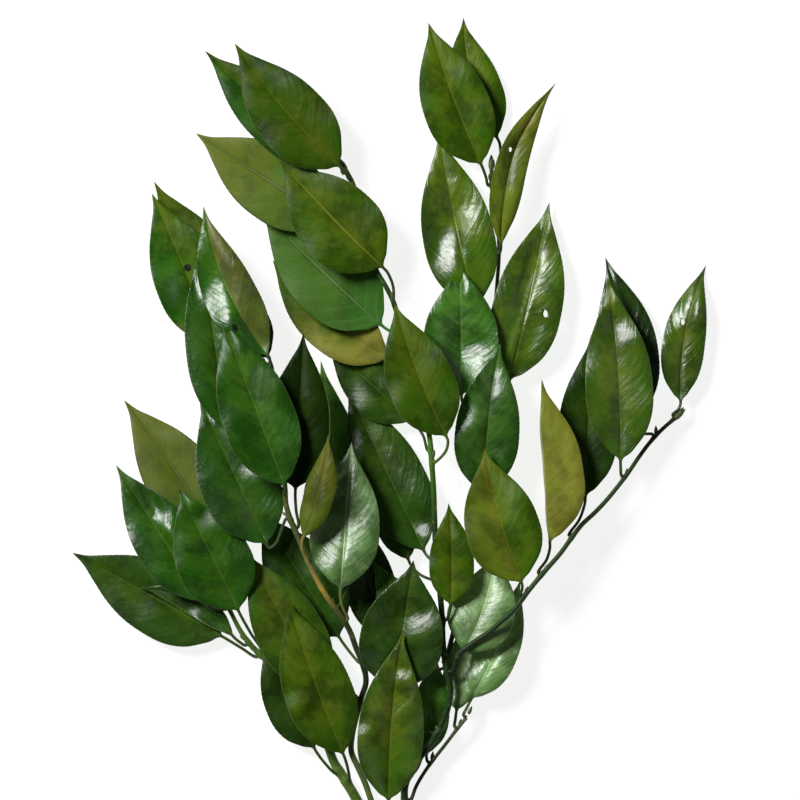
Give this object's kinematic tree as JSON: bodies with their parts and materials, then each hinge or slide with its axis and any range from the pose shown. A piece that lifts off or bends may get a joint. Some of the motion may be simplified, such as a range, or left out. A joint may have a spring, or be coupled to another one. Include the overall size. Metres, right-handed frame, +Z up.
{
  "type": "camellia branch",
  "caption": "Cut, forked branch of camellia: glossy, pointed, leathery leaves with short petioles along thin green twigs, lying flat.",
  "frame": {"origin": "middle of the underside of the whole branch, on the surface it lies on", "axes": "+Y from the cut end along the branch towards the leaf tips, +Z up off the surface, +X to the right seen from above"},
  "size_m": [0.3176, 0.443, 0.0367],
  "materials": {
    "leaf_deep": "glossy deep green upper face with pinnate veins, matte paler underside",
    "leaf_bluish": "glossy cool green upper face with a soft pale sheen, matte paler underside",
    "leaf_olive": "satin olive green, yellower towards the midrib, matte paler underside",
    "leaf_khaki": "matte pale olive, as on the underside, with a raised midrib",
    "bark_green": "smooth young green bark with fine streaks and leaf scars",
    "bark_dark": "dark green bark with brown and tan patches and leaf scars"
  },
  "bodies": {
    "root": {"stem_main": "bark_green", "stem_far_left": "bark_green", "stem_left": "bark_green", "stem_centre": "bark_dark", "stem_top": "bark_dark", "stem_right": "bark_dark", "stem_lower": "bark_dark", "leaf_centre_01": "leaf_deep", "leaf_centre_02": "leaf_olive", "leaf_centre_03": "leaf_khaki", "leaf_centre_04": "leaf_olive", "leaf_centre_05": "leaf_bluish", "leaf_centre_06": "leaf_olive", "leaf_centre_07": "leaf_deep", "leaf_centre_08": "leaf_olive", "leaf_centre_09": "leaf_bluish", "leaf_centre_10": "leaf_deep", "leaf_centre_11": "leaf_deep", "leaf_centre_12": "leaf_olive", "leaf_centre_13": "leaf_deep", "leaf_centre_14": "leaf_deep", "leaf_centre_15": "leaf_deep", "leaf_top_01": "leaf_deep", "leaf_top_02": "leaf_olive", "leaf_top_03": "leaf_olive", "leaf_top_04": "leaf_deep", "leaf_top_05": "leaf_deep", "leaf_top_06": "leaf_bluish", "leaf_top_07": "leaf_deep", "leaf_right_01": "leaf_olive", "leaf_right_02": "leaf_khaki", "leaf_right_03": "leaf_deep", "leaf_right_04": "leaf_olive", "leaf_right_05": "leaf_deep", "leaf_right_06": "leaf_deep", "leaf_right_07": "leaf_bluish", "leaf_lower_01": "leaf_bluish", "leaf_lower_02": "leaf_bluish", "leaf_lower_03": "leaf_bluish", "leaf_left_01": "leaf_deep", "leaf_left_02": "leaf_olive", "leaf_left_03": "leaf_deep", "leaf_left_04": "leaf_olive", "leaf_left_05": "leaf_deep", "leaf_left_06": "leaf_deep", "leaf_left_07": "leaf_deep", "leaf_left_08": "leaf_deep", "leaf_left_09": "leaf_deep", "leaf_left_10": "leaf_olive", "leaf_left_11": "leaf_deep", "leaf_left_12": "leaf_bluish", "leaf_left_13": "leaf_bluish", "leaf_left_14": "leaf_olive", "leaf_far_left_01": "leaf_khaki", "leaf_far_left_02": "leaf_bluish", "leaf_far_left_03": "leaf_deep", "leaf_far_left_04": "leaf_deep", "leaf_far_left_05": "leaf_bluish", "leaf_far_left_06": "leaf_olive", "leaf_far_left_07": "leaf_deep"}
  },
  "joints": []
}
